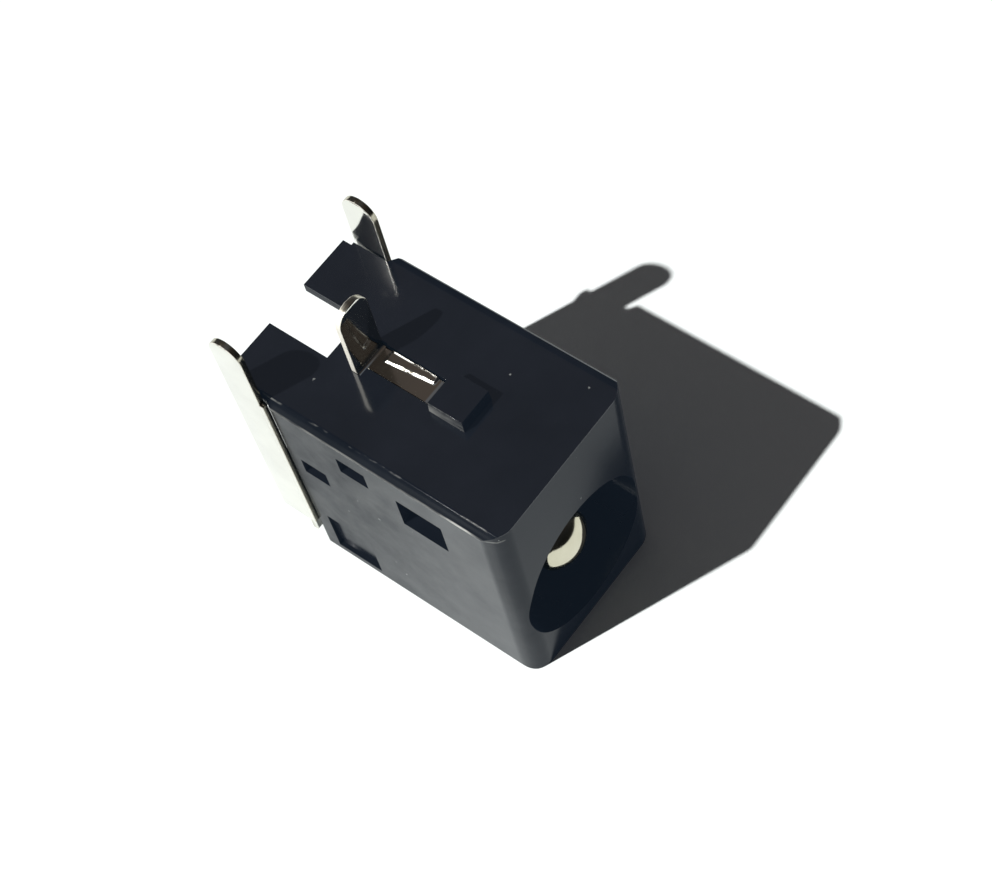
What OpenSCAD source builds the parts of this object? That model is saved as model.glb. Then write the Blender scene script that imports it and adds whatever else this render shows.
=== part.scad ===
// Through-hole DC power jack for a 5.5 mm barrel plug with a 2.5 mm centre hole.
// It lies on its closed face with the board face and the solder tails upwards.
// X runs across the jack, Y from the plug mouth towards the back, Z up.
// The origin is on the plug's axis, in the plane of the front face.

/* [Housing] */
// Width across the side walls
body_w = 7.5; // [7.3:0.1:9]
// Length from the front face to the back face, without the lugs
body_l = 10.6; // [10:0.1:14]
// Height from the closed face to the board face
body_h = 10.9; // [10.5:0.1:14]
// Height of the plug's axis above the closed face
axis_h = 4.05; // [4:0.05:5]
// Radius of the two upright front corners
front_corner_r = 0.85; // [0.4:0.05:1.2]
// Radius of the upright rear corner on the side contact's side
rear_corner_r = 0.9; // [0.4:0.05:1]
// Radius of the two long edges beside the board face
board_edge_r = 0.45; // [0.2:0.05:0.55]
// Radius of the other outer edges
edge_r = 0.3; // [0.15:0.05:0.4]
// Thickness of the side walls beside the spring bay
bay_wall = 0.58; // [0.45:0.01:0.9]
// Thickness of the board face over the spring bay, and of the lugs
roof_t = 0.42; // [0.35:0.01:0.8]
// Thickness of the web between the socket and the spring bay
web_t = 0.6; // [0.4:0.05:0.9]
// Thickness of the wall in front of the spring bay
bay_front_wall = 2.3; // [1:0.1:2.7]
// Length of the two lugs behind the back face
lug_l = 1.9; // [1.7:0.1:3]
// Width of the notch between the lugs
notch_w = 1.95; // [1.75:0.05:2.6]
// Offset of the notch from the plug's axis
notch_x = -0.11; // [-0.2:0.01:0.1]
// Depth of the notch into the board face, from the back face
notch_depth = 0.85; // [0.4:0.05:1.1]

/* [Socket and centre pin] */
// Diameter of the plug socket
socket_d = 6.6; // [6:0.1:6.9]
// Depth of the plug socket
socket_depth = 9.5; // [9:0.1:9.8]
// Diameter of the centre pin
pin_d = 2.45; // [1.9:0.05:3]
// Distance from the front face to the pin's tip
pin_recess = 0.3; // [0.2:0.05:2]
// Radius of the pin's domed end
pin_dome_r = 2.2; // [1.8:0.1:6]
// Radius of the rim between the dome and the pin's side
pin_rim_r = 0.15; // [0.05:0.05:0.4]
// Diameter of the pin's shank in the back wall
shank_d = 1.6; // [1.2:0.05:1.8]
// Diameter of the peened head behind the terminal
rivet_d = 2.4; // [2:0.05:3]
// Height of the peened head
rivet_h = 0.35; // [0.2:0.05:0.5]

/* [Sheet metal] */
// Thickness of the terminals
sheet_t = 0.25; // [0.2:0.01:0.32]
// Inner radius of the bends
bend_r = 0.15; // [0.1:0.01:0.25]
// Width of the solder tails
tail_w = 1.5; // [1.2:0.05:1.8]
// Play between a terminal and the moulding
play = 0.05; // [0.03:0.01:0.1]

/* [Pin terminal] */
// Length of the solder tail above the board face
pin_tail_l = 3.25; // [2.5:0.05:5]
// Height of the plate on the back face
plate_h = 5.75; // [4:0.05:6]
// Reach of the plate past the plug's axis
plate_reach = 2.4; // [1.8:0.05:2.9]
// Distance that the leg stands out past the side wall
leg_proud = 0.18; // [0.1:0.01:0.25]
// Distance from the closed face to the leg's lower end
leg_start = 2; // [1.6:0.05:3]
// Radius of the plate's two free corners
plate_corner_r = 0.6; // [0.2:0.05:1]

/* [Sleeve spring] */
// Length of the solder tail above the board face
spring_tail_l = 3.4; // [2.5:0.05:5]
// Width of the spring leaf
leaf_w = 1.05; // [0.8:0.05:1.2]
// Offset of the leaf from the plug's axis
leaf_x = -0.07; // [-0.2:0.01:0.2]
// Depth of the leaf's top below the board face
leaf_sink = 0.14; // [0:0.01:0.2]
// Distance from the front face to the front of the tail
mid_tail_y = 8.45; // [8.2:0.05:9]
// Distance from the front face to the front of the leaf's well
well_y = 5.2; // [4.8:0.05:5.6]
// Distance that the contact bow reaches into the socket
sleeve_bow = 0.85; // [0.6:0.05:1]

/* [Side contact] */
// Length of the solder tail above the board face
side_tail_l = 2.95; // [2.5:0.05:5]
// Distance of the strip's outer face inside the side wall's plane
side_inset = 0.15; // [0.1:0.01:0.3]
// Distance that the contact bow reaches into the socket
side_bow = 0.85; // [0.6:0.05:0.95]
// Free room in front of the contact's end
side_gap = 0.95; // [0.4:0.05:1.2]

/* [Locating boss] */
// Width and length of the boss at its foot
boss_w = 1.6; // [1.2:0.05:1.8]
// Height of the boss above the board face
boss_h = 0.62; // [0.4:0.02:1.2]
// Distance that each side leans in over the boss's height
boss_lean = 0.03; // [0:0.01:0.2]

/* [Hidden] */
$fn = 64;

// a cut runs this far past the faces that it opens
past = 1;

// main planes
floor_z = -axis_h;
board_z = body_h - axis_h;
half_w = body_w / 2;
socket_r = socket_d / 2;

// spring bay above the socket
bay_x = half_w - bay_wall;
bay_low_z = socket_r + web_t;
bay_top_z = board_z - roof_t;

// windows in the left wall: distance from the front face, length, height above the closed face, height
windows = [
    [2.8, 2.05, 7.5, 1.75],
    [6.2, 1.3, 8.75, 0.95],
    [8.6, 1.2, 6.5, 0.9]
];
// shallow panel in the left wall, in the same order, and its depth
panel = [7.6, 2.15, 0.6, 2.4];
panel_depth = 0.18;

// pin terminal's leg
leg_out_x = -half_w - leg_proud;
leg_in_x = leg_out_x + sheet_t;

// sleeve spring
leaf_top_z = board_z - leaf_sink;
leaf_low_z = leaf_top_z - sheet_t;
tail_mid_x = leaf_x + leaf_w / 2 - tail_w / 2 + 0.05;
fold_y = mid_tail_y - bend_r;

// side contact
side_out_x = half_w - side_inset;
side_in_x = side_out_x - sheet_t;
side_slot_h = tail_w + 2 * play;
side_lean = asin(0.28);
side_turn = asin(0.6);
side_flare = side_turn - side_lean;
side_root_l = 0.5;
side_root_r = 1;
side_bow_r = 0.8;
side_end_l = 0.9;
side_arm_in = side_in_x - (socket_r - side_bow)
    - (side_root_r + side_bow_r + sheet_t) * (1 - cos(side_lean));
side_arm_l = side_arm_in / sin(side_lean);
side_end_y = socket_depth - side_root_l - side_root_r * sin(side_lean)
    - side_arm_l * cos(side_lean)
    - (side_bow_r + sheet_t) * (sin(side_lean) + sin(side_flare))
    - side_end_l * cos(side_flare);

// A round-cornered rectangle from corner lo to corner hi; r gives the radius of its
// corners at low left, low right, high right and high left.
module rounded(lo, hi, r) {
    corners = [lo, [hi.x, lo.y], hi, [lo.x, hi.y]];
    inward = [[1, 1], [-1, 1], [-1, -1], [1, -1]];
    difference() {
        translate(lo) square(hi - lo);
        for (i = [0:3]) {
            centre = corners[i] + r[i] * inward[i];
            difference() {
                translate(corners[i] - [0.5, 0.5] * r[i] + 0.5 * r[i] * inward[i]) square(r[i]);
                translate(centre) circle(r[i]);
            }
        }
    }
}

// Stands an outline drawn in X and Z from y0 to y1.
module across_y(y0, y1) {
    translate([0, y1, 0]) rotate([90, 0, 0]) linear_extrude(y1 - y0) children();
}

// Stands an outline drawn in Y and Z from x0 to x1.
module across_x(x0, x1) {
    translate([x0, 0, 0]) rotate([90, 0, 90]) linear_extrude(x1 - x0) children();
}

// Stands an outline drawn in X and Y from z0 to z1.
module across_z(z0, z1) {
    translate([0, 0, z0]) linear_extrude(z1 - z0) children();
}

// A box between two corners.
module block(lo, hi) {
    translate(lo) cube(hi - lo);
}

// A strip of sheet seen on its edge, laid out as it is folded. It starts at the origin
// along +X with its left side at y = t. Each step is [length] or [inner radius, angle];
// a positive angle turns it left. An angle whose sine and cosine are short decimals
// keeps the pieces' faces exactly together.
module strip(steps, t = sheet_t, i = 0) {
    if (i < len(steps)) {
        s = steps[i];
        if (len(s) == 1) {
            square([s[0], t]);
            translate([s[0], 0]) strip(steps, t, i + 1);
        } else if (s[1] > 0) {
            translate([0, t + s[0]]) {
                arc_band(s[0], t, -90, -90 + s[1]);
                rotate(s[1]) translate([0, -t - s[0]]) strip(steps, t, i + 1);
            }
        } else {
            translate([0, -s[0]]) {
                arc_band(s[0], t, 90 + s[1], 90);
                rotate(s[1]) translate([0, s[0]]) strip(steps, t, i + 1);
            }
        }
    }
}

// Part of a ring of inner radius r and thickness t, between two angles under 180 apart.
module arc_band(r, t, from, to) {
    reach = 3 * (r + t);
    middle = (from + to) / 2;
    intersection() {
        difference() {
            circle(r + t);
            circle(r);
        }
        polygon([[0, 0], for (a = [from, middle, to]) reach * [cos(a), sin(a)]]);
    }
}

// The outline of a solder tail, width w centred on u, from v0 up to its half-round tip at v1.
module tail_outline(u, v0, v1, w) {
    translate([u - w / 2, v0]) square([w, v1 - v0 - w / 2]);
    translate([u, v1 - w / 2]) circle(w / 2);
}

// Housing: one moulding with the socket, the spring bay, the lugs and the boss.

// Two lugs behind the back face; their sides guide the legs of the two outer terminals.
module lugs() {
    root_y = body_l - rear_corner_r - past / 2;
    block([leg_in_x + play, root_y, bay_top_z], [bay_x, body_l + lug_l, board_z]);
    block([bay_x - past, root_y, bay_top_z], [side_in_x - play, body_l + tail_w, board_z]);
}

module housing_block() {
    intersection() {
        union() {
            across_z(floor_z, board_z)
                rounded([-half_w, 0], [half_w, body_l],
                    [front_corner_r, front_corner_r, rear_corner_r, edge_r]);
            lugs();
        }
        across_y(0, body_l + lug_l)
            rounded([-half_w, floor_z], [half_w, board_z],
                [edge_r, edge_r, board_edge_r, board_edge_r]);
    }
}

// Four-sided boss with leaning sides, which goes into a hole in the board.
module boss() {
    front = well_y - boss_w + boss_lean;
    foot_z = board_z - roof_t / 2;
    lean = boss_lean * (boss_h + roof_t / 2) / boss_h;
    side = boss_w / 2;
    top_z = board_z + boss_h;
    intersection() {
        across_x(leaf_x - side, leaf_x + side)
            polygon([[front, foot_z], [front + boss_w, foot_z],
                [front + boss_w - lean, top_z], [front + lean, top_z]]);
        across_y(front, front + boss_w)
            polygon([[leaf_x - side, foot_z], [leaf_x + side, foot_z],
                [leaf_x + side - lean, top_z], [leaf_x - side + lean, top_z]]);
    }
}

// Open at the back; a saddle in its middle carries the sleeve spring's leaf.
module spring_bay() {
    saddle_x = tail_w / 2 + 0.5;
    saddle_end = mid_tail_y + sheet_t + 0.3;
    difference() {
        block([-bay_x, bay_front_wall, bay_low_z], [bay_x, body_l + past, bay_top_z]);
        block([leaf_x - saddle_x, well_y - 0.8, bay_low_z - past],
            [leaf_x + saddle_x, saddle_end, board_z + past]);
    }
}

// The well for the leaf's drop, the pocket for the leaf and the slot for the contact arm.
module spring_slots() {
    half = leaf_w / 2 + play;
    fold_half = tail_w / 2 + play;
    arm_end = mid_tail_y + sheet_t + play;
    arm_top = bay_low_z + 0.75;
    block([leaf_x - half, well_y, leaf_low_z], [leaf_x + half, mid_tail_y, board_z + past]);
    block([tail_mid_x - fold_half, fold_y - play, leaf_low_z],
        [tail_mid_x + fold_half, arm_end, board_z + past]);
    block([leaf_x - half, well_y, 0], [leaf_x + half, well_y + 1.1, board_z + past]);
    block([leaf_x - half, well_y, 0], [leaf_x + half, arm_end + 0.3, arm_top]);
}

module notch() {
    block([notch_x - notch_w / 2, body_l - notch_depth, bay_top_z - past],
        [notch_x + notch_w / 2, body_l + lug_l + past, board_z + past]);
}

module left_windows() {
    for (w = windows)
        block([-half_w - past, w[0], floor_z + w[2]],
            [-bay_x + past / 2, w[0] + w[1], floor_z + w[2] + w[3]]);
}

module left_panel() {
    block([-half_w - past, panel[0], floor_z + panel[2]],
        [-half_w + panel_depth, panel[0] + panel[1], floor_z + panel[2] + panel[3]]);
}

// The contact slides in from the back: its arm has room beside the socket, and its strip
// rests against the back wall.
module side_slot() {
    front = side_end_y - side_gap;
    block([0.7 * socket_r, front, -side_slot_h / 2],
        [half_w + past, socket_depth, side_slot_h / 2]);
    block([side_in_x, front, -side_slot_h / 2],
        [half_w + past, body_l + past, side_slot_h / 2]);
}

module housing() {
    color("#191c22")
    difference() {
        union() {
            housing_block();
            boss();
        }
        across_y(-past, socket_depth) circle(socket_r);
        across_y(0, body_l + past) circle(shank_d / 2 + play / 2);
        spring_bay();
        spring_slots();
        notch();
        left_windows();
        left_panel();
        side_slot();
    }
}

// Centre pin: turned, with a shank through the back wall and the terminal, peened behind.
module centre_pin() {
    pin_r = pin_d / 2;
    back = body_l + sheet_t;
    dome_y = pin_recess + pin_dome_r;
    rim_x = pin_r - pin_rim_r;
    rim_in = sqrt(pow(pin_dome_r - pin_rim_r, 2) - pow(rim_x, 2));
    rim_y = dome_y - rim_in;
    color("#c9c5b8")
    rotate([-90, 0, 0])
    rotate_extrude()
    intersection() {
        union() {
            // domed end
            translate([0, dome_y])
                intersection() {
                    circle(pin_dome_r);
                    polygon([[0, 0], [-2 * rim_x, -2 * rim_in], [2 * rim_x, -2 * rim_in]]);
                }
            // rounded rim
            translate([rim_x, rim_y]) circle(pin_rim_r);
            // straight part
            translate([-pin_r, rim_y]) square([2 * pin_r, socket_depth - rim_y]);
            // shank
            translate([0, socket_depth]) square([shank_d / 2, back + rivet_h / 2 - socket_depth]);
            // peened head
            intersection() {
                translate([0, back]) square([rivet_d / 2, rivet_h]);
                translate([0, back + rivet_h - rivet_d]) circle(rivet_d);
            }
        }
        square([body_w, body_l + lug_l]);
    }
}

// Pin terminal: a plate on the back face and a leg, with a sharp coined corner between them.
module pin_terminal() {
    back = body_l + sheet_t;
    leg_low_z = floor_z + leg_start;
    fold_top = plate_h / 2;
    color("#c4c6bd") {
        // plate with the rivet hole
        difference() {
            across_y(body_l, back)
                rounded([leg_in_x, -fold_top], [plate_reach, fold_top],
                    [0.05, plate_corner_r, plate_corner_r, 0.05]);
            across_y(body_l - past, back + past) circle(shank_d / 2);
        }
        // inner radius of the corner
        across_z(leg_low_z, fold_top - 0.05)
            difference() {
                translate([leg_in_x, back]) square(bend_r);
                translate([leg_in_x + bend_r, back + bend_r]) circle(bend_r);
            }
        // leg and tail
        across_x(leg_out_x, leg_in_x)
            tail_outline(body_l + tail_w / 2, leg_low_z, board_z + pin_tail_l, tail_w);
    }
}

// Sleeve spring: tail, fold, leaf in its pocket, drop into the bay and contact arm.
module sleeve_spring() {
    drop_r = 0.25;
    drop_end_z = bay_low_z + 0.35;
    leaf_l = fold_y - well_y - play - sheet_t - drop_r;
    knee_r = 0.3;
    knee = acos(0.6);
    bow_r = 0.5;
    arm_drop = drop_end_z - (socket_r - sleeve_bow);
    arm_l = (arm_drop - (knee_r + sheet_t) * sin(knee) - (bow_r + sheet_t) * (1 - sin(knee)))
        / cos(knee);
    color("#b9b6a6") {
        // tail
        across_y(mid_tail_y, mid_tail_y + sheet_t)
            tail_outline(tail_mid_x, leaf_top_z + bend_r, board_z + spring_tail_l, tail_w);
        // fold
        across_x(tail_mid_x - tail_w / 2, tail_mid_x + tail_w / 2)
            translate([fold_y, leaf_low_z]) strip([[bend_r, 90]]);
        // leaf, drop and arm
        difference() {
            union() {
                across_x(leaf_x - leaf_w / 2, leaf_x + leaf_w / 2)
                    translate([fold_y, leaf_top_z]) rotate(180)
                        strip([[leaf_l], [drop_r, 90], [leaf_low_z - drop_r - drop_end_z],
                            [knee_r, knee], [arm_l], [bow_r, knee], [0.7]]);
                leaf_rib(leaf_top_z);
            }
            leaf_rib(leaf_low_z);
        }
    }
}

// Lengthwise step pressed into the leaf, with an upturned edge; z is the flat part's height.
module leaf_rib(z) {
    edge_x = leaf_x + leaf_w / 2;
    across_y(well_y + 0.6, fold_y - 0.3)
        polygon([[edge_x - 0.36, z], [edge_x - 0.25, z + 0.06], [edge_x - 0.08, z + 0.06],
            [edge_x, z + 0.1], [edge_x, z]]);
}

// Side contact: the leg behind the back face, and an arm that bows into the socket.
module side_contact() {
    half = tail_w / 2;
    leg_y = body_l + half;
    color("#c4c6bd") {
        // leg and tail
        across_x(side_in_x, side_out_x)
            tail_outline(leg_y, -half, board_z + side_tail_l, tail_w);
        // arm
        across_z(-half, half)
            translate([side_in_x, leg_y]) rotate(-90)
                strip([[leg_y - socket_depth + side_root_l], [side_root_r, -side_lean],
                    [side_arm_l], [side_bow_r, side_turn], [side_end_l]]);
    }
}

housing();
centre_pin();
pin_terminal();
sleeve_spring();
side_contact();
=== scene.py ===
import math

import bmesh
import bpy
from mathutils import Matrix, Vector


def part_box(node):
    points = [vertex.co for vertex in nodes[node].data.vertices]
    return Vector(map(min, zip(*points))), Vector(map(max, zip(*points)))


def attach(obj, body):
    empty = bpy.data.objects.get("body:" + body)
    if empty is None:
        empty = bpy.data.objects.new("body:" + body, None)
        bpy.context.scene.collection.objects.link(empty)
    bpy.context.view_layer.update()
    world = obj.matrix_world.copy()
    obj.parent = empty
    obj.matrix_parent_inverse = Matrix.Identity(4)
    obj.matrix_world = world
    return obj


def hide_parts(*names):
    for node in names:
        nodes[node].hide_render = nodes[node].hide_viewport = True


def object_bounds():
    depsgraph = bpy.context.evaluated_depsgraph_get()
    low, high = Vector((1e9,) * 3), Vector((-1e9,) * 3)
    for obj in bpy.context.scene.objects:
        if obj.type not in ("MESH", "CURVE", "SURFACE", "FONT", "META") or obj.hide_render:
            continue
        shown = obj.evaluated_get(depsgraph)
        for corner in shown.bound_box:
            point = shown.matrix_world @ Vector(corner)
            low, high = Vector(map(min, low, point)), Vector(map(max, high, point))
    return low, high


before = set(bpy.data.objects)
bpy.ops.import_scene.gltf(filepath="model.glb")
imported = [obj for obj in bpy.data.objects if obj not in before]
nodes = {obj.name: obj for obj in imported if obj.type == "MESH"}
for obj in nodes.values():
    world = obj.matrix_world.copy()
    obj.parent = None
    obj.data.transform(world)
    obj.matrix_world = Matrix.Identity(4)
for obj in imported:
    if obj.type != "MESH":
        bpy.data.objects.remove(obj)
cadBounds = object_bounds()
scene = bpy.context.scene
mm = 0.001
tiny = 0.000001  # metres: closer than this is the same place
print("frame loaded:", sorted(nodes))


# small helpers for node trees; a value may be a socket or a plain number

def feed(tree, value, socket):
    if isinstance(value, bpy.types.NodeSocket):
        tree.links.new(value, socket)
    elif isinstance(value, tuple) and socket.type == "RGBA":
        socket.default_value = (*value[:3], 1)
    else:
        socket.default_value = value


def addNode(tree, kind, settings=None, **values):
    node = tree.nodes.new(kind)
    for key, value in (settings or {}).items():
        setattr(node, key, value)
    for key, value in values.items():
        feed(tree, value, node.inputs[key])
    return node


def arith(tree, operation, *values):
    node = addNode(tree, "ShaderNodeMath", {"operation": operation})
    for socket, value in zip(node.inputs, values):
        feed(tree, value, socket)
    return node.outputs[0]


def times(tree, first, second):
    return arith(tree, "MULTIPLY", first, second)


def plus(tree, first, second):
    return arith(tree, "ADD", first, second)


def minus(tree, first, second):
    return arith(tree, "SUBTRACT", first, second)


def mapRange(tree, value, fromLow, fromHigh, toLow, toHigh, smooth=False):
    node = tree.nodes.new("ShaderNodeMapRange")
    if smooth:
        node.interpolation_type = "SMOOTHSTEP"
    for socket, number in zip(node.inputs, (value, fromLow, fromHigh, toLow, toHigh)):
        feed(tree, number, socket)
    return node.outputs["Result"]


def mixColour(tree, factor, first, second):
    node = addNode(tree, "ShaderNodeMix", {"data_type": "RGBA"})
    feed(tree, factor, node.inputs[0])
    feed(tree, first, node.inputs[6])
    feed(tree, second, node.inputs[7])
    return node.outputs[2]


def mixNumber(tree, factor, first, second):
    node = addNode(tree, "ShaderNodeMix", {"data_type": "FLOAT"})
    feed(tree, factor, node.inputs[0])
    feed(tree, first, node.inputs[2])
    feed(tree, second, node.inputs[3])
    return node.outputs[0]


def noise(tree, vector, scale, detail, rough):
    node = addNode(tree, "ShaderNodeTexNoise", Scale=scale, Detail=detail, Roughness=rough)
    tree.links.new(vector, node.inputs["Vector"])
    return node.outputs["Fac"]


def stretched(tree, vector, scale):
    return addNode(tree, "ShaderNodeMapping", Vector=vector, Scale=scale).outputs["Vector"]


def bandMask(tree, value, centre, half, soft):
    away = arith(tree, "ABSOLUTE", minus(tree, value, centre))
    return mapRange(tree, away, half, half + soft, 1.0, 0.0, True)


def newMaterial(name):
    mat = bpy.data.materials.new(name)
    mat.use_nodes = True
    tree = mat.node_tree
    tree.nodes.clear()
    out = tree.nodes.new("ShaderNodeOutputMaterial")
    bsdf = tree.nodes.new("ShaderNodeBsdfPrincipled")
    tree.links.new(bsdf.outputs["BSDF"], out.inputs["Surface"])
    return mat, tree, bsdf


# camera at the angle that the jack is seen from

cameraSetup = {
    "place": (-25.162, -28.969, 73.737),  # millimetres
    "right": (0.59557, -0.79252, -0.13120),
    "forward": (0.32856, 0.38936, -0.86049),
    "lens": 81.98,
    "sensor": 36,
    "shiftX": -0.0438,
    "shiftY": -0.0073,
    "nearest": 1,
}


def makeCamera(setup):
    camData = bpy.data.cameras.new("camera")
    camData.lens = setup["lens"]
    camData.sensor_width = setup["sensor"]
    camData.shift_x = setup["shiftX"]
    camData.shift_y = setup["shiftY"]
    camData.clip_start = setup["nearest"] * mm
    cam = bpy.data.objects.new("camera", camData)
    scene.collection.objects.link(cam)
    back = -Vector(setup["forward"]).normalized()
    right = Vector(setup["right"])
    right = (right - back * right.dot(back)).normalized()
    up = back.cross(right)
    turn = Matrix((right, up, back)).transposed().to_4x4()
    cam.matrix_world = Matrix.Translation(Vector(setup["place"]) * mm) @ turn
    return cam


scene.camera = makeCamera(cameraSetup)
print("camera placed")


# white paper, a low sun and the dim room around

stageSetup = {
    "floorHalf": 0.6,  # metres
    "floorColour": (0.915, 0.955, 0.94),
    "floorRoughness": 0.9,
    "floorShine": 0.1,
    "sunStrength": 4.6,
    "sunWay": (0.579, -0.259, -0.773),
    "sunAngle": 0.9,  # degrees
    "frontShade": 0.2,  # a dark wall stands in front of the jack
    "shadeFades": (-0.95, 0.1),
    "skyStops": (  # height above the horizon, then colour
        (0.00, (0.085, 0.085, 0.088)),
        (0.12, (0.050, 0.048, 0.048)),
        (0.35, (0.062, 0.066, 0.076)),
        (0.75, (0.070, 0.060, 0.055)),
        (0.90, (0.070, 0.057, 0.050)),
        (1.00, (0.150, 0.175, 0.215)),
    ),
}


def makeFloor(setup):
    half = setup["floorHalf"]
    z = cadBounds[0][2]
    mesh = bpy.data.meshes.new("floor")
    corners = [(-half, -half, z), (half, -half, z), (half, half, z), (-half, half, z)]
    mesh.from_pydata(corners, [], [(0, 1, 2, 3)])
    floor = bpy.data.objects.new("floor", mesh)
    scene.collection.objects.link(floor)
    mat, _, bsdf = newMaterial("whitePaper")
    bsdf.inputs["Roughness"].default_value = setup["floorRoughness"]
    bsdf.inputs["Specular IOR Level"].default_value = setup["floorShine"]
    bsdf.inputs["Base Color"].default_value = (*setup["floorColour"], 1)
    mesh.materials.append(mat)


def makeLights(setup):
    sunData = bpy.data.lights.new("sun", "SUN")
    sunData.energy = setup["sunStrength"]
    sunData.angle = math.radians(setup["sunAngle"])
    sun = bpy.data.objects.new("sun", sunData)
    sun.rotation_mode = "QUATERNION"
    sun.rotation_quaternion = Vector(setup["sunWay"]).to_track_quat("-Z", "Y")
    scene.collection.objects.link(sun)
    world = bpy.data.worlds.new("dimRoom")
    scene.world = world
    world.use_nodes = True
    tree = world.node_tree
    way = tree.nodes.new("ShaderNodeTexCoord").outputs["Generated"]
    height = addNode(tree, "ShaderNodeSeparateXYZ", Vector=way).outputs["Z"]
    ramp = tree.nodes.new("ShaderNodeValToRGB")
    elements = ramp.color_ramp.elements
    while len(elements) < len(setup["skyStops"]):
        elements.new(1.0)
    for element, (place, colour) in zip(elements, setup["skyStops"]):
        element.position = place
        element.color = (*colour, 1)
    tree.links.new(height, ramp.inputs["Fac"])
    depth = addNode(tree, "ShaderNodeSeparateXYZ", Vector=way).outputs["Y"]
    dimmer = mapRange(tree, depth, *setup["shadeFades"], setup["frontShade"], 1.0)
    sky = addNode(tree, "ShaderNodeVectorMath", {"operation": "SCALE"}, Scale=dimmer)
    tree.links.new(ramp.outputs["Color"], sky.inputs[0])
    tree.links.new(sky.outputs["Vector"], tree.nodes["Background"].inputs["Color"])


makeFloor(stageSetup)
makeLights(stageSetup)
print("floor and lights made")


# black moulded plastic: glossy, with a fine grain, dust, a faint painted glow, and paler long edges that
# are partly rubbed wear and partly painted highlight

plasticLook = {
    "colour": (0.0030, 0.0034, 0.0046),
    "cloudTint": 1.9,
    "dustColour": (0.20, 0.21, 0.20),
    "wearAndHighlightColour": (0.40, 0.40, 0.37),
    "roughness": 0.17,
    "frontRoughness": 0.19,
    "topRoughness": 0.10,
    "wearAndHighlightRoughness": 0.35,
    "topIor": 1.8,
    "sideIor": 1.16,
    "frontIor": 1.14,
    "forwardIor": (0.11, -0.02),  # added to the walls, from the front to the back
    "lift": (0.0048, 0.0078, 0.0126),  # a painted glow: faint emission that lifts the blacks towards a bluish haze
    "cloudScale": 260,
    "mottleScale": 620,
    "grainScale": 1500,
    "streakScale": 2600,
    "dustScale": 3400,
    # places in millimetres: where each face or mark begins, then where it is full
    "topFace": (6.825, 6.846),
    "topSides": (3.38, 3.43),
    "frontFace": (0.5, 0.02),
    "forwardPart": (0.8, 8.0),
    "leftWall": (-3.2, -3.3),
    "ridgeZ": 6.48,
    "ridgeBrightY": 1.8,
    "upperLineX": -3.47,
    "upperLine": (6.7, 6.8),
    "bossX": -0.87,
    "bossFoot": (6.87, 6.93),
    "bossEdgeZ": 7.45,
}


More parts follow.
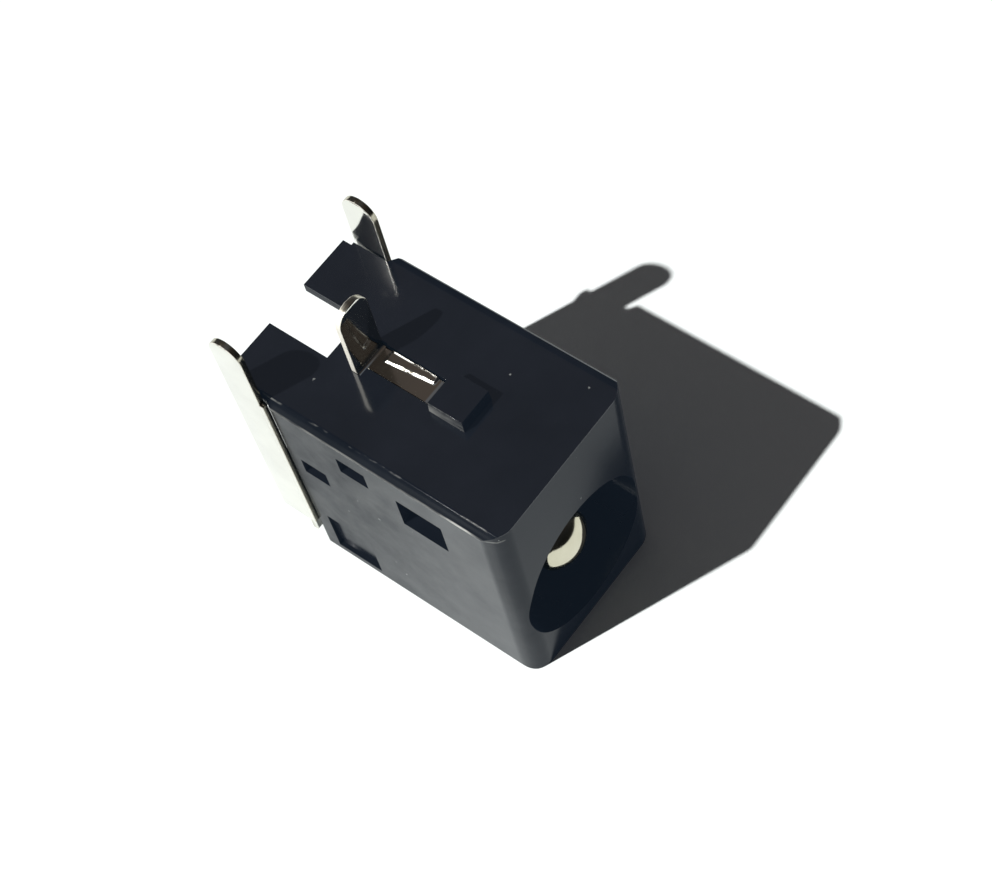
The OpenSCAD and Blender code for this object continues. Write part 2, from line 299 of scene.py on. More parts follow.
def makePlastic(look):
    mat, tree, bsdf = newMaterial("blackPlastic")
    coord = tree.nodes.new("ShaderNodeTexCoord").outputs["Object"]
    # the emission is a painted glow, not a lamp: it lifts the plastic's blacks towards a bluish haze
    bsdf.inputs["Emission Color"].default_value = (*look["lift"], 1)
    bsdf.inputs["Emission Strength"].default_value = 1.0
    axes = addNode(tree, "ShaderNodeSeparateXYZ", Vector=coord).outputs

    def rise(value, places, smooth=False):
        begins, full = look[places]
        return mapRange(tree, value, begins * mm, full * mm, 0.0, 1.0, smooth)

    def band(axis, place, half, soft):
        return bandMask(tree, axes[axis], look[place] * mm, half * mm, soft * mm)

    cloud = noise(tree, coord, look["cloudScale"], 4, 0.6)
    mottle = noise(tree, coord, look["mottleScale"], 5, 0.65)
    grain = noise(tree, coord, look["grainScale"], 3, 0.6)
    specks = noise(tree, coord, look["dustScale"], 1, 0.4)
    streaks = noise(tree, stretched(tree, coord, (1.0, 0.35, 1.0)), look["streakScale"], 3, 0.6)

    # the board face, the front and the walls each take the light in their own way
    onTop = rise(axes["Z"], "topFace", True)
    fromMiddle = arith(tree, "ABSOLUTE", axes["X"])
    onTop = times(tree, onTop, minus(tree, 1.0, rise(fromMiddle, "topSides")))
    onFront = rise(axes["Y"], "frontFace")
    forward = mapRange(tree, axes["Y"], *(place * mm for place in look["forwardPart"]),
                       *look["forwardIor"], True)
    sideIor = mapRange(tree, mottle, 0.3, 0.7, look["sideIor"] - 0.045, look["sideIor"] + 0.035)
    sideIor = mixNumber(tree, onFront, plus(tree, sideIor, forward), look["frontIor"])
    tree.links.new(mixNumber(tree, onTop, sideIor, look["topIor"]), bsdf.inputs["IOR"])

    # paler lines along the left edge, most of all near the front: partly rubbed wear, partly painted
    # highlight where the edge catches the light
    ridge = times(tree, band("Z", "ridgeZ", 0.03, 0.03), rise(axes["X"], "leftWall"))
    ridge = times(tree, ridge, mapRange(tree, streaks, 0.36, 0.58, 0.25, 1.0))
    ridge = times(tree, ridge, plus(tree, times(tree, band("Y", "ridgeBrightY", 0.4, 0.5), 0.7), 0.3))
    upper = times(tree, band("X", "upperLineX", 0.01, 0.03), rise(axes["Z"], "upperLine"))
    upper = times(tree, upper, mapRange(tree, streaks, 0.5, 0.66, 0.0, 0.35))

    # painted light on the locating boss: its left side, where the light falls, is painted a paler grey,
    # with a painted highlight dotted along its upper edge
    bossSide = times(tree, band("X", "bossX", 0.02, 0.03), rise(axes["Z"], "bossFoot"))
    bossEdge = times(tree, band("Z", "bossEdgeZ", 0.03, 0.05), mapRange(tree, streaks, 0.45, 0.6, 0.0, 1.0))
    bossSide = times(tree, bossSide, plus(tree, mapRange(tree, streaks, 0.3, 0.7, 0.05, 0.4), bossEdge))
    wearAndHighlight = arith(tree, "MAXIMUM", arith(tree, "MAXIMUM", ridge, upper), bossSide)

    body = mixColour(tree, mapRange(tree, cloud, 0.35, 0.65, 0.0, 1.0), look["colour"],
                     tuple(look["cloudTint"] * part for part in look["colour"]))
    body = mixColour(tree, mapRange(tree, specks, 0.80, 0.84, 0.0, 1.0), body, look["dustColour"])
    # paler grey on the places above: partly wear, partly painted highlight on the edge lines, and painted
    # light on the boss's side
    body = mixColour(tree, wearAndHighlight, body, look["wearAndHighlightColour"])
    tree.links.new(body, bsdf.inputs["Base Color"])
    rough = mapRange(tree, cloud, 0.3, 0.7, look["roughness"] - 0.05, look["roughness"] + 0.09)
    rough = mixNumber(tree, onFront, rough, look["frontRoughness"])
    rough = mixNumber(tree, onTop, rough, look["topRoughness"])
    rough = mixNumber(tree, wearAndHighlight, rough, look["wearAndHighlightRoughness"])
    tree.links.new(rough, bsdf.inputs["Roughness"])
    bump = addNode(tree, "ShaderNodeBump", Strength=0.5, Distance=0.00004,
                   Height=plus(tree, times(tree, grain, 0.12), wearAndHighlight))
    tree.links.new(bump.outputs["Normal"], bsdf.inputs["Normal"])
    return mat


# plated sheet: rolled faces like a mirror, duller sheared edges

sheetLook = {
    "colour": (0.82, 0.81, 0.75),
    "wornTint": 0.86,
    "edgeColour": (0.50, 0.47, 0.38),
    "edgeTint": 0.7,
    "burrAndGlintColour": (0.93, 0.91, 0.84),
    "dullColour": (0.16, 0.14, 0.10),
    "roughness": 0.09,
    "edgeRoughness": 0.22,
    "tornRoughness": 0.85,
    "scuffedRoughness": 0.36,
    "wearScale": 420,
    "tornScale": 5200,
    "scratchScale": 7000,
    "sunSideFrom": (-0.50, -0.80),  # how far left a torn edge has to face before it is painted pale as a sunlit highlight
}


def makeSheetMetal(look):
    mat, tree, bsdf = newMaterial("platedSheet")
    coord = tree.nodes.new("ShaderNodeTexCoord").outputs["Object"]
    bsdf.inputs["Metallic"].default_value = 1.0

    def stored(name):
        return addNode(tree, "ShaderNodeAttribute", {"attribute_name": name}).outputs["Fac"]

    shear, across, litEdgeStrip, rub = [stored(name) for name in ("shear", "across", "torn", "rub")]
    wear = noise(tree, coord, look["wearScale"], 5, 0.6)
    torn = noise(tree, coord, look["tornScale"], 3, 0.6)
    scratches = noise(tree, stretched(tree, coord, (1.0, 0.3, 1.0)), look["scratchScale"], 4, 0.7)

    # a burr stands on one side of the sheared edge, and a torn edge is rough all over; the burr is paler,
    # and torn edges that face left, towards the sun, are painted pale as a sunlit highlight
    burrAndGlint = times(tree, shear, mapRange(tree, across, 0.38, 0.45, 0.0, 1.0))
    burrAndGlint = times(tree, burrAndGlint, mapRange(tree, torn, 0.3, 0.55, 0.3, 1.0))
    facing = tree.nodes.new("ShaderNodeNewGeometry").outputs["True Normal"]
    sunSide = addNode(tree, "ShaderNodeSeparateXYZ", Vector=facing).outputs["X"]
    sunSide = mapRange(tree, sunSide, *look["sunSideFrom"], 0.12, 1.0)
    burrAndGlint = arith(tree, "MAXIMUM", burrAndGlint, times(tree, times(tree, litEdgeStrip, shear), sunSide))

    face = mixColour(tree, mapRange(tree, wear, 0.35, 0.7, 0.0, 1.0), look["colour"],
                     tuple(look["wornTint"] * part for part in look["colour"]))
    dulled = mapRange(tree, scratches, 0.44, 0.56, 0.92, 0.1)
    face = mixColour(tree, times(tree, rub, dulled), face, look["dullColour"])
    edge = mixColour(tree, mapRange(tree, torn, 0.35, 0.65, 0.0, 1.0), look["edgeColour"],
                     tuple(look["edgeTint"] * part for part in look["edgeColour"]))
    colour = mixColour(tree, shear, face, edge)
    tree.links.new(mixColour(tree, burrAndGlint, colour, look["burrAndGlintColour"]), bsdf.inputs["Base Color"])

    faceRough = mapRange(tree, wear, 0.3, 0.7, look["roughness"] - 0.03, look["roughness"] + 0.07)
    scuffed = times(tree, rub, mapRange(tree, scratches, 0.42, 0.56, 0.0, 1.0))
    faceRough = mixNumber(tree, scuffed, faceRough, look["scuffedRoughness"])
    burnish = mapRange(tree, across, -0.1, 0.1, 0.08, 0.0)  # smoother part of the shear
    edgeRough = minus(tree, look["edgeRoughness"], burnish)
    rough = mixNumber(tree, shear, faceRough, edgeRough)
    tree.links.new(mixNumber(tree, burrAndGlint, rough, look["tornRoughness"]), bsdf.inputs["Roughness"])
    bump = addNode(tree, "ShaderNodeBump", Strength=0.12, Distance=0.00002,
                   Height=mixNumber(tree, shear, wear, torn))
    tree.links.new(bump.outputs["Normal"], bsdf.inputs["Normal"])
    return mat


# turned pin: fine rings from the lathe

turnedLook = {
    "colour": (0.62, 0.59, 0.47),
    "tarnished": (0.54, 0.51, 0.39),
    "roughness": 0.09,
    "ringScale": 9000,
    "wearScale": 700,
}


def makeTurnedMetal(look):
    mat, tree, bsdf = newMaterial("turnedPin")
    coord = tree.nodes.new("ShaderNodeTexCoord").outputs["Object"]
    bsdf.inputs["Metallic"].default_value = 1.0
    axes = addNode(tree, "ShaderNodeSeparateXYZ", Vector=coord).outputs
    squareX = times(tree, axes["X"], axes["X"])
    squareZ = times(tree, axes["Z"], axes["Z"])
    radial = arith(tree, "SQRT", plus(tree, squareX, squareZ))
    along = plus(tree, radial, axes["Y"])
    line = addNode(tree, "ShaderNodeCombineXYZ", X=along).outputs["Vector"]
    rings = noise(tree, line, look["ringScale"], 4, 0.7)
    wear = noise(tree, coord, look["wearScale"], 4, 0.6)
    rough = mapRange(tree, wear, 0.3, 0.7, look["roughness"] - 0.03, look["roughness"] + 0.05)
    tree.links.new(rough, bsdf.inputs["Roughness"])
    tarnish = mapRange(tree, wear, 0.35, 0.7, 0.0, 1.0)
    colour = mixColour(tree, tarnish, look["colour"], look["tarnished"])
    tree.links.new(colour, bsdf.inputs["Base Color"])
    bump = addNode(tree, "ShaderNodeBump", Strength=0.12, Distance=0.00001, Height=rings)
    tree.links.new(bump.outputs["Normal"], bsdf.inputs["Normal"])
    return mat


plastic = makePlastic(plasticLook)
sheetMetal = makeSheetMetal(sheetLook)
turnedMetal = makeTurnedMetal(turnedLook)
print("materials made")


# geometry trees

def newTree(name, inputs):
    tree = bpy.data.node_groups.new(name, "GeometryNodeTree")
    tree.interface.new_socket("Geometry", in_out="INPUT", socket_type="NodeSocketGeometry")
    for label, kind, value in inputs:
        socket = tree.interface.new_socket(label, in_out="INPUT", socket_type="NodeSocket" + kind)
        if value is not None:
            socket.default_value = value
    tree.interface.new_socket("Geometry", in_out="OUTPUT", socket_type="NodeSocketGeometry")
    start = tree.nodes.new("NodeGroupInput").outputs
    end = tree.nodes.new("NodeGroupOutput").inputs
    return tree, start, end


def store(tree, geometry, name, value, dataType="FLOAT"):
    node = addNode(tree, "GeometryNodeStoreNamedAttribute", {"data_type": dataType, "domain": "POINT"},
                   Geometry=geometry, Name=name, Value=value)
    return node.outputs["Geometry"]


def readNamed(tree, name, dataType="FLOAT"):
    node = addNode(tree, "GeometryNodeInputNamedAttribute", {"data_type": dataType}, Name=name)
    return node.outputs["Attribute"]


def finishTree(tree, geometry, material, end):
    smooth = addNode(tree, "GeometryNodeSetShadeSmooth", Geometry=geometry).outputs["Geometry"]
    real = addNode(tree, "GeometryNodeRealizeInstances", Geometry=smooth).outputs["Geometry"]
    done = addNode(tree, "GeometryNodeSetMaterial", Geometry=real, Material=material)
    tree.links.new(done.outputs["Geometry"], end["Geometry"])


# sweeps a section along a curve and closes both ends
def sweep(tree, inputs):
    node = addNode(tree, "GeometryNodeCurveToMesh", **inputs)
    node.inputs["Fill Caps"].default_value = True
    return node.outputs["Mesh"]


# a strip of sheet swept along a flat path; its width stands across the path's plane
def makeStripTree():
    tree, start, end = newTree("bentStrip", (
        ("width", "Float", 0.0015),
        ("thickness", "Float", 0.00025),
        ("edgeRound", "Float", 0.00003),
        ("tipRadius", "Float", 0.0),
        ("bendSteps", "Int", 10),
        ("spacing", "Float", 0.00004),
        ("acrossCuts", "Int", 0),
        ("ribHeight", "Float", 0.0),
        ("ribSide", "Float", 0.0),
        ("ribFlank", "Float", 0.0001),
        ("ribRamp", "Float", 0.0001),
        ("lipHeight", "Float", 0.0),
        ("ribStart", "Float", 0.0),
        ("ribEnd", "Float", 0.0),
        ("ribSlant", "Float", 0.0),
        ("torn", "Float", 0.0),
        ("material", "Material", None),
    ))
    halfWidth = times(tree, start["width"], 0.5)
    halfSheet = times(tree, start["thickness"], 0.5)

    # path with its bends rounded, even steps, and the distance left to its end
    curve = addNode(tree, "GeometryNodeMeshToCurve", Mesh=start["Geometry"]).outputs["Curve"]
    curve = addNode(tree, "GeometryNodeFilletCurve", {"mode": "POLY"}, Curve=curve,
                    Count=start["bendSteps"], Radius=readNamed(tree, "bend")).outputs["Curve"]
    curve = addNode(tree, "GeometryNodeResampleCurve", {"mode": "LENGTH"}, Curve=curve,
                    Length=start["spacing"]).outputs["Curve"]
    curve = addNode(tree, "GeometryNodeSetCurveNormal", {"mode": "Z_UP"}, Curve=curve).outputs["Curve"]
    total = tree.nodes.new("GeometryNodeSplineLength").outputs["Length"]
    gone = tree.nodes.new("GeometryNodeSplineParameter").outputs["Length"]
    curve = store(tree, curve, "toTip", minus(tree, total, gone))
    normal = tree.nodes.new("GeometryNodeInputNormal").outputs["Normal"]
    curve = store(tree, curve, "pathNormal", normal, "FLOAT_VECTOR")

    # section with rounded sheared edges
    section = addNode(tree, "GeometryNodeCurvePrimitiveQuadrilateral", Width=start["thickness"],
                      Height=start["width"]).outputs["Curve"]
    section = addNode(tree, "GeometryNodeSubdivideCurve", Curve=section,
                      Cuts=start["acrossCuts"]).outputs["Curve"]
    place = tree.nodes.new("GeometryNodeInputPosition").outputs["Position"]
    axes = addNode(tree, "ShaderNodeSeparateXYZ", Vector=place).outputs
    awayX = arith(tree, "ABSOLUTE", axes["X"])
    awayY = arith(tree, "ABSOLUTE", axes["Y"])
    corner = times(tree, arith(tree, "GREATER_THAN", awayX, minus(tree, halfSheet, tiny)),
                   arith(tree, "GREATER_THAN", awayY, minus(tree, halfWidth, tiny)))
    section = addNode(tree, "GeometryNodeFilletCurve", {"mode": "POLY"}, Curve=section, Count=3,
                      Radius=times(tree, corner, start["edgeRound"])).outputs["Curve"]
    flatEnd = minus(tree, halfWidth, times(tree, start["edgeRound"], 0.9))
    section = store(tree, section, "shear", arith(tree, "GREATER_THAN", awayY, flatEnd))
    section = store(tree, section, "across", arith(tree, "DIVIDE", axes["X"], start["thickness"]))
    # torn marks a strip whose left-facing sheared edges the sheet material paints pale as a sunlit
    # highlight
    section = store(tree, section, "torn", start["torn"])
    solid = sweep(tree, {"Curve": curve, "Profile Curve": section})

    # the cut end belongs to the sheared edge
    toTip = readNamed(tree, "toTip")
    atEnd = arith(tree, "LESS_THAN", toTip, tiny)
    solid = store(tree, solid, "shear", arith(tree, "MAXIMUM", readNamed(tree, "shear"), atEnd))

    # pressed rib and lip move both faces along the path's normal
    side = axes["Z"]
    drift = times(tree, start["ribSlant"], minus(tree, toTip, start["ribStart"]))
    ribSide = minus(tree, start["ribSide"], drift)
    ribRise = mapRange(tree, side, ribSide, plus(tree, ribSide, start["ribFlank"]), 0.0, 1.0, True)
    lipWide = times(tree, start["ribFlank"], 0.45)
    lipRise = mapRange(tree, side, minus(tree, halfWidth, lipWide), halfWidth, 0.0, 1.0)
    ribOn = mapRange(tree, toTip, start["ribStart"], plus(tree, start["ribStart"], start["ribRamp"]),
                     0.0, 1.0, True)
    ribOff = mapRange(tree, toTip, minus(tree, start["ribEnd"], start["ribRamp"]), start["ribEnd"],
                      1.0, 0.0, True)
    ribLong = times(tree, ribOn, ribOff)
    lift = plus(tree, times(tree, ribRise, start["ribHeight"]), times(tree, lipRise, start["lipHeight"]))
    lift = times(tree, lift, ribLong)

    # the plating is rubbed on the rib's flank and on the lip
    flank = times(tree, times(tree, ribRise, 4.0), minus(tree, 1.0, ribRise))
    rub = times(tree, arith(tree, "MAXIMUM", flank, lipRise), ribLong)
    rub = times(tree, rub, arith(tree, "GREATER_THAN", start["ribHeight"], 0.0))
    solid = store(tree, solid, "rub", rub)
    shift = addNode(tree, "ShaderNodeVectorMath", {"operation": "SCALE"},
                    Vector=readNamed(tree, "pathNormal", "FLOAT_VECTOR"), Scale=lift).outputs["Vector"]
    solid = addNode(tree, "GeometryNodeSetPosition", Geometry=solid, Offset=shift).outputs["Geometry"]

    # rounded tip: the width closes in over the last stretch
    inside = arith(tree, "MAXIMUM", minus(tree, start["tipRadius"], toTip), 0.0)
    squares = minus(tree, times(tree, start["tipRadius"], start["tipRadius"]),
                    times(tree, inside, inside))
    left = arith(tree, "SQRT", arith(tree, "MAXIMUM", squares, 0.0))
    half = plus(tree, minus(tree, halfWidth, start["tipRadius"]), left)
    closing = arith(tree, "DIVIDE", arith(tree, "MAXIMUM", half, 0.00002), halfWidth)
    moved = addNode(tree, "ShaderNodeCombineXYZ", X=axes["X"], Y=axes["Y"],
                    Z=times(tree, side, closing)).outputs["Vector"]
    solid = addNode(tree, "GeometryNodeSetPosition", Geometry=solid, Position=moved).outputs["Geometry"]
    finishTree(tree, solid, start["material"], end)
    return tree


# a turned part: a round section that follows the axis, its radius read from the path
def makeLatheTree():
    tree, start, end = newTree("turnedPart", (
        ("sides", "Int", 96),
        ("material", "Material", None),
    ))
    curve = addNode(tree, "GeometryNodeMeshToCurve", Mesh=start["Geometry"]).outputs["Curve"]
    ring = addNode(tree, "GeometryNodeCurvePrimitiveCircle", Resolution=start["sides"],
                   Radius=1.0).outputs["Curve"]
    radius = readNamed(tree, "turnRadius")
    solid = sweep(tree, {"Curve": curve, "Profile Curve": ring, "Scale": radius})
    finishTree(tree, solid, start["material"], end)
    return tree


stripTree = makeStripTree()
latheTree = makeLatheTree()


# evens out the shading, and leaves the object a plain mesh with no modifiers
def settle(obj):
    weights = obj.modifiers.new("weights", "WEIGHTED_NORMAL")
    weights.weight = 50
    grown = obj.evaluated_get(bpy.context.evaluated_depsgraph_get())
    mesh = bpy.data.meshes.new_from_object(grown)
    base = obj.data
    obj.modifiers.clear()
    obj.data = mesh
    bpy.data.meshes.remove(base)
    mesh.name = obj.name
    return mesh


# runs a tree on a path of points, and sets the mesh in its place
def growPart(name, tree, points, attribute, numbers, values, place):
    base = bpy.data.meshes.new(name + "Path")
    base.from_pydata(points, [(i, i + 1) for i in range(len(points) - 1)], [])
    layer = base.attributes.new(attribute, "FLOAT", "POINT")
    layer.data.foreach_set("value", numbers)
    obj = bpy.data.objects.new(name, base)
    scene.collection.objects.link(obj)
    modifier = obj.modifiers.new("grow", "NODES")
    modifier.node_group = tree
    for item in tree.interface.items_tree:
        if item.in_out == "INPUT" and item.name in values:
            modifier[item.identifier] = values[item.name]
    settle(obj).transform(place)
    return obj


# walks a centre line: a step is a length, or a bend as (radius, degrees); left turns are positive
def walkPath(start, heading, steps):
    here = Vector((*start, 0.0))
    angle = math.radians(heading)
    points, bends = [here.copy()], [0.0]
    for step in steps:
        way = Vector((math.cos(angle), math.sin(angle), 0.0))
        if isinstance(step, tuple):
            radius, turn = step
            reach = radius * math.tan(math.radians(abs(turn)) / 2)
            here = here + way * reach
            points.append(here.copy())
            bends.append(radius * mm)
            angle += math.radians(turn)
            here = here + Vector((math.cos(angle), math.sin(angle), 0.0)) * reach
        else:
            here = here + way * step
    points.append(here)
    bends.append(0.0)
    return [point * mm for point in points], bends


# the strip's path is drawn in the plane of two row axes; its width lies along their cross product
def planeOf(first, second, origin):
    a, b = Vector(first), Vector(second)
    turn = Matrix((a, b, a.cross(b))).transposed().to_4x4()
    return Matrix.Translation(Vector(origin) * mm) @ turn


plainInputs = ("acrossCuts", "ribSlant", "torn")  # the others are in millimetres


def makeStrip(name, start, heading, steps, place, thickness, **sizes):
    points, bends = walkPath(start, heading, steps)
    values = {"thickness": thickness * mm, "material": sheetMetal}
    for label, number in sizes.items():
        values[label] = number if label in plainInputs else number * mm
    return growPart(name, stripTree, points, "bend", bends, values, place)


# a straight strip that stands upright, with its faces to the left and right
def makeUpright(name, x, y, low, high, thickness, **sizes):
    place = planeOf((0, 0, 1), (1, 0, 0), (0, y, 0))
    return makeStrip(name, (low, x), 0, [high - low], place, thickness, **sizes)


def joinPieces(first, *others):
    picked = [first, *others]
    with bpy.context.temp_override(active_object=first, object=first, selected_objects=picked,
                                   selected_editable_objects=picked):
        bpy.ops.object.join()
    return first


def addPiece(piece, node):
    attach(piece, "root")
    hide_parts(node)


def boxMm(node):
    low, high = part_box(node)
    return Vector(low) / mm, Vector(high) / mm


# pin terminal: a plate on the back face and a leg with a sharp corner between them

pinTerminalSizes = {
    "sheet": 0.25,
    "tailWidth": 1.5,
    "legLow": -2.05,
    "bedded": 0.14,  # how far the leg's front edge goes into the moulding
    "bedTop": 6.7,
    "bedRaise": 0.003,
    "bedThinner": 0.012,
    "plateHeight": 5.75,
    "plateCorner": 0.6,
    "plateLap": 0.07,
    "plateThinner": 0.01,
    "plateSpacing": 0.06,
    "edgeRound": 0.03,
}


def makePinTerminal(size):
    low, high = boxMm("pin_terminal")
    sheet, width = size["sheet"], size["tailWidth"]
    legX = low.x + sheet / 2
    legY = low.y + width / 2
    leg = makeUpright("pinTerminal", legX, legY, size["legLow"], high.z, sheet,
                      width=width, tipRadius=width / 2, edgeRound=size["edgeRound"])
    bedWidth = width / 2 + size["bedded"]
    bedLow = size["legLow"] + size["bedRaise"]
    bed = makeUpright("pinBed", legX, legY - bedWidth / 2, bedLow, size["bedTop"] + size["bedRaise"],
                      sheet - size["bedThinner"], width=bedWidth, edgeRound=size["edgeRound"])
    plateX = legX - size["plateLap"]
    plate = makeStrip("pinPlate", (plateX, low.y + sheet / 2), 0, [high.x - plateX],
                      planeOf((1, 0, 0), (0, 1, 0), (0, 0, 0)), sheet - size["plateThinner"],
                      width=size["plateHeight"], tipRadius=size["plateCorner"],
                      edgeRound=size["edgeRound"], spacing=size["plateSpacing"])
    addPiece(joinPieces(leg, bed, plate), "pin_terminal")


makePinTerminal(pinTerminalSizes)
print("pin terminal made")


# sleeve spring: tail and fold, then the leaf with its pressed rib, drop, knee and contact bow

sleeveSpringSizes = {
    "sheet": 0.25,
    "tailWidth": 1.5,
    "leafWidth": 1.05,
    "leafShift": 0.175,  # the leaf's middle is this far right of the tail's
    "leafThinner": 0.006,
    "leafSpacing": 0.03,
    "leafCuts": 72,
    "bendRadius": 0.275,  # centre line
    "leafZ": 6.585,
    "foldY": 8.3,
    "foldLap": 0.02,
    "dropY": 5.75,
    "dropRadius": 0.375,
    "dropEnd": 4.25,
    "kneeRadius": 0.425,
    "kneeAngle": 53.13,
    "armLength": 2.017,
    "bowRadius": 0.625,
    "endLength": 0.7,
    "ribHeight": 0.07,
    "ribSide": 0.17,
    "ribFlank": 0.2,
    "ribSlant": 0.1,
    "ribEnds": (0.05, 0.3),  # from the drop and from the fold
    "lipHeight": 0.04,
    "edgeRound": 0.03,
}


def makeSleeveSpring(size):
    low, high = boxMm("sleeve_spring")
    tailX = low.x + size["tailWidth"] / 2
    leafX = tailX + size["leafShift"]
    foldY, leafZ, lap = size["foldY"], size["leafZ"], size["foldLap"]
    tail = makeStrip("sleeveSpring", (foldY - lap, leafZ), 0,
                     [lap, (size["bendRadius"], 90.0), high.z - leafZ - size["bendRadius"]],
                     planeOf((0, 1, 0), (0, 0, 1), (tailX, 0, 0)), size["sheet"],
                     width=size["tailWidth"], tipRadius=size["tailWidth"] / 2,
                     # torn=1.0: the tail's left-facing sheared edges get the painted highlight
                     edgeRound=size["edgeRound"], torn=1.0)
    leafRun = foldY - size["dropY"]
    downRun = leafZ - size["dropRadius"] - size["dropEnd"]
    afterLeaf = (size["dropRadius"] * math.pi / 2 + downRun + size["armLength"] + size["endLength"]
                 + (size["kneeRadius"] + size["bowRadius"]) * math.radians(size["kneeAngle"]))
    fromDrop, fromFold = size["ribEnds"]
    leaf = makeStrip("sleeveLeaf", (foldY + lap, leafZ), 180,
                     [leafRun + lap, (size["dropRadius"], 90.0), downRun,
                      (size["kneeRadius"], size["kneeAngle"]), size["armLength"],
                      (size["bowRadius"], size["kneeAngle"]), size["endLength"]],
                     planeOf((0, 1, 0), (0, 0, 1), (leafX, 0, 0)), size["sheet"] - size["leafThinner"],
                     width=size["leafWidth"], edgeRound=size["edgeRound"],
                     acrossCuts=size["leafCuts"], spacing=size["leafSpacing"],
                     ribHeight=size["ribHeight"], ribSide=size["ribSide"], ribFlank=size["ribFlank"],
                     ribSlant=size["ribSlant"], lipHeight=size["lipHeight"],
                     ribStart=afterLeaf + fromDrop, ribEnd=afterLeaf + leafRun - fromFold)
    addPiece(joinPieces(tail, leaf), "sleeve_spring")


makeSleeveSpring(sleeveSpringSizes)
print("sleeve spring made")


# side contact: the leg behind the back face and the bowed arm beside the socket

sideContactSizes = {
    "sheet": 0.25,
    "tailWidth": 1.5,
    "shoulder": 0.3,
    "shoulderTop": 5.0,
    "shoulderRaise": 0.003,
    "shoulderThinner": 0.012,
    "rootY": 9.0,
    "rootRadius": 1.125,
    "lean": 16.26,
    "armLength": 2.921,
    "armThinner": 0.01,
    "armNarrower": 0.006,
    "bowRadius": 0.925,
    "bowAngle": 36.87,
    "endLength": 0.9,
    "edgeRound": 0.03,
}


def makeSideContact(size):
    low, high = boxMm("side_contact")
    sheet, width = size["sheet"], size["tailWidth"]
    legX = high.x - sheet / 2
    legY = high.y - width / 2
    leg = makeUpright("sideContact", legX, legY, low.z, high.z, sheet,
                      width=width, tipRadius=width / 2, edgeRound=size["edgeRound"])
    shoulderWidth = width / 2 + size["shoulder"]
    raised = size["shoulderRaise"]
    shoulder = makeUpright("sideShoulder", legX, legY - shoulderWidth / 2, low.z + raised,
                           size["shoulderTop"] + raised, sheet - size["shoulderThinner"],
                           width=shoulderWidth, edgeRound=size["edgeRound"])
    arm = makeStrip("sideArm", (legX, legY), 270,
                    [legY - size["rootY"], (size["rootRadius"], -size["lean"]), size["armLength"],
                     (size["bowRadius"], size["bowAngle"]), size["endLength"]],
                    planeOf((1, 0, 0), (0, 1, 0), (0, 0, 0)), sheet - size["armThinner"],
                    width=width - size["armNarrower"], edgeRound=size["edgeRound"])
    addPiece(joinPieces(leg, shoulder, arm), "side_contact")


makeSideContact(sideContactSizes)
print("side contact made")


# centre pin: domed tip, straight part, shank and peened head, turned about the plug's axis

pinSizes = {
    "radius": 1.225,
    "domeRadius": 1.5,
    "domeSteps": 14,
    "rimRadius": 0.4,
    "rimSteps": 8,
    "straightEnd": 9.5,
    "shankRadius": 0.8,
    "headY": 10.85,
    "headRadius": 1.2,
    "headCurve": 2.4,
    "headSteps": 12,
    "shoulder": 0.001,  # a square step takes this much of the length
    "centreHole": 0.004,
    "sides": 96,
}


# (place along the axis, radius) from the tip to the head
def pinProfile(size):
    low, high = boxMm("centre_pin")
    tip, back = low.y, high.y
    dome, rim, curve = size["domeRadius"], size["rimRadius"], size["headCurve"]
    profile = [(tip, size["centreHole"])]
    rimCentre = size["radius"] - rim
    rimY = tip + dome - math.sqrt((dome - rim) ** 2 - rimCentre ** 2)
    meet = math.asin(rimCentre / (dome - rim))
    for i in range(1, size["domeSteps"] + 1):
        angle = meet * i / size["domeSteps"]
        profile.append((tip + dome - dome * math.cos(angle), dome * math.sin(angle)))
    for i in range(1, size["rimSteps"] + 1):
        angle = meet + (math.pi / 2 - meet) * i / size["rimSteps"]
        profile.append((rimY - rim * math.cos(angle), rimCentre + rim * math.sin(angle)))
    profile.append((size["straightEnd"] - size["shoulder"], size["radius"]))
    profile.append((size["straightEnd"], size["shankRadius"]))
    profile.append((size["headY"] - size["shoulder"], size["shankRadius"]))
    profile.append((size["headY"], size["headRadius"]))
    wide = math.asin(size["headRadius"] / curve)
    for i in range(size["headSteps"]):
        angle = wide * (1 - i / size["headSteps"])
        profile.append((back - curve + curve * math.cos(angle), curve * math.sin(angle)))
    profile.append((back, size["centreHole"]))
    return profile


def makePin(size):
    profile = pinProfile(size)
    points = [(0.0, along * mm, 0.0) for along, radius in profile]
    radii = [radius * mm for along, radius in profile]
    values = {"sides": size["sides"], "material": turnedMetal}
    piece = growPart("centrePin", latheTree, points, "turnRadius", radii, values, Matrix.Identity(4))
    addPiece(piece, "centre_pin")


makePin(pinSizes)
print("centre pin made")


# housing: the moulding with its flat faces cleaned up and its edges softened

housingSizes = {
    "edgeSoft": 0.03,
    "sharpAngle": 24,
    "flatAngle": 0.5,  # degrees between faces that are one flat
    "boardEdge": 0.45,
    "bossHeight": 0.62,
    "frontCorner": 0.85,
    "leftCut": (0.378, 0.178),  # where the flat on each long edge starts, in parts of that edge
    "rightCut": (0.75, 0.75),
    "edgeMatch": (0.02, 0.03),  # in parts of that edge: least distance in, and off the round
    "cornerMatch": (0.03, 0.02),  # in millimetres, for the front corners
    "uprightTilt": 0.2,
}


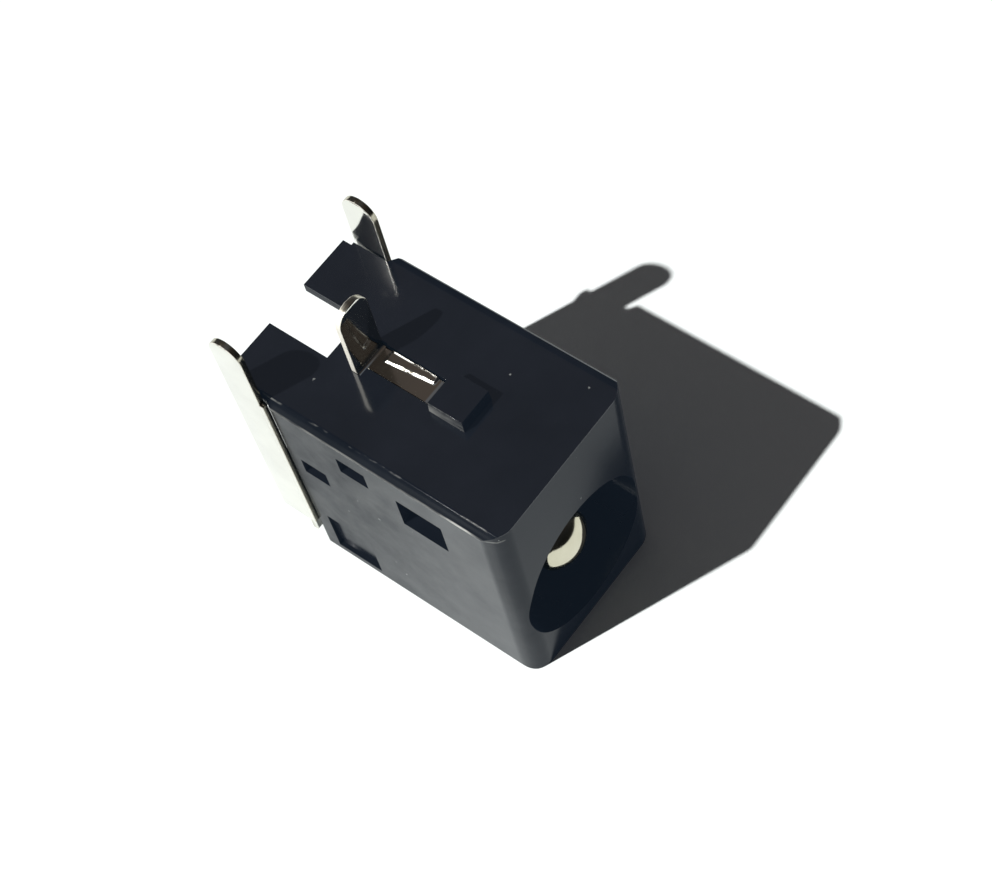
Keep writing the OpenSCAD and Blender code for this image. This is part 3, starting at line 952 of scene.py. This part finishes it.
# the long edges at the board face are flats with crisp sides
def flattenEdge(mesh, size):
    high = boxMm("housing")[1]
    top = high.z - size["bossHeight"]
    edge = size["boardEdge"]
    least, off = size["edgeMatch"]
    for vertex in mesh.vertices:
        x, y, z = vertex.co / mm
        u = (abs(x) - (high.x - edge)) / edge
        w = (z - (top - edge)) / edge
        if u < least or w < least or abs(math.hypot(u, w) - 1) > off:
            continue
        startU, endW = size["leftCut"] if x < 0 else size["rightCut"]
        across, down = 1 - endW, 1 - startU
        reach = min(1 / u, 1 / w, (across * startU + down) / (across * u + down * w))
        outX = high.x - edge + u * reach * edge
        vertex.co = Vector((math.copysign(outX, x), y, top - edge + w * reach * edge)) * mm


# the upright front corners shade as true quarter rounds
def roundNormals(mesh, size):
    high = boxMm("housing")[1]
    radius = size["frontCorner"]
    beyond, off = size["cornerMatch"]
    normals = [corner.vector.copy() for corner in mesh.corner_normals]
    for face in mesh.polygons:
        if abs(face.normal.z) > size["uprightTilt"]:
            continue
        for index in face.loop_indices:
            x, y, _ = mesh.vertices[mesh.loops[index].vertex_index].co / mm
            dx, dy = abs(x) - (high.x - radius), y - radius
            if dx > -beyond and dy < beyond and abs(math.hypot(dx, dy) - radius) < off:
                normals[index] = Vector((math.copysign(dx, x), dy, 0)).normalized()
    mesh.normals_split_custom_set(normals)


def makeHousing(size):
    body = bmesh.new()
    body.from_mesh(nodes["housing"].data)
    bmesh.ops.remove_doubles(body, verts=body.verts, dist=tiny)
    bmesh.ops.dissolve_limit(body, angle_limit=math.radians(size["flatAngle"]),
                             verts=body.verts, edges=body.edges)
    mesh = bpy.data.meshes.new("housingBody")
    body.to_mesh(mesh)
    body.free()
    flattenEdge(mesh, size)
    for face in mesh.polygons:
        face.use_smooth = True
    piece = bpy.data.objects.new("housingBody", mesh)
    scene.collection.objects.link(piece)
    bevel = piece.modifiers.new("soft", "BEVEL")
    bevel.width = size["edgeSoft"] * mm
    bevel.segments = 2
    bevel.limit_method = "ANGLE"
    bevel.angle_limit = math.radians(size["sharpAngle"])
    settled = settle(piece)
    roundNormals(settled, size)
    settled.materials.clear()
    settled.materials.append(plastic)
    addPiece(piece, "housing")


makeHousing(housingSizes)
print("housing made")


scene.view_settings.view_transform = "Standard"
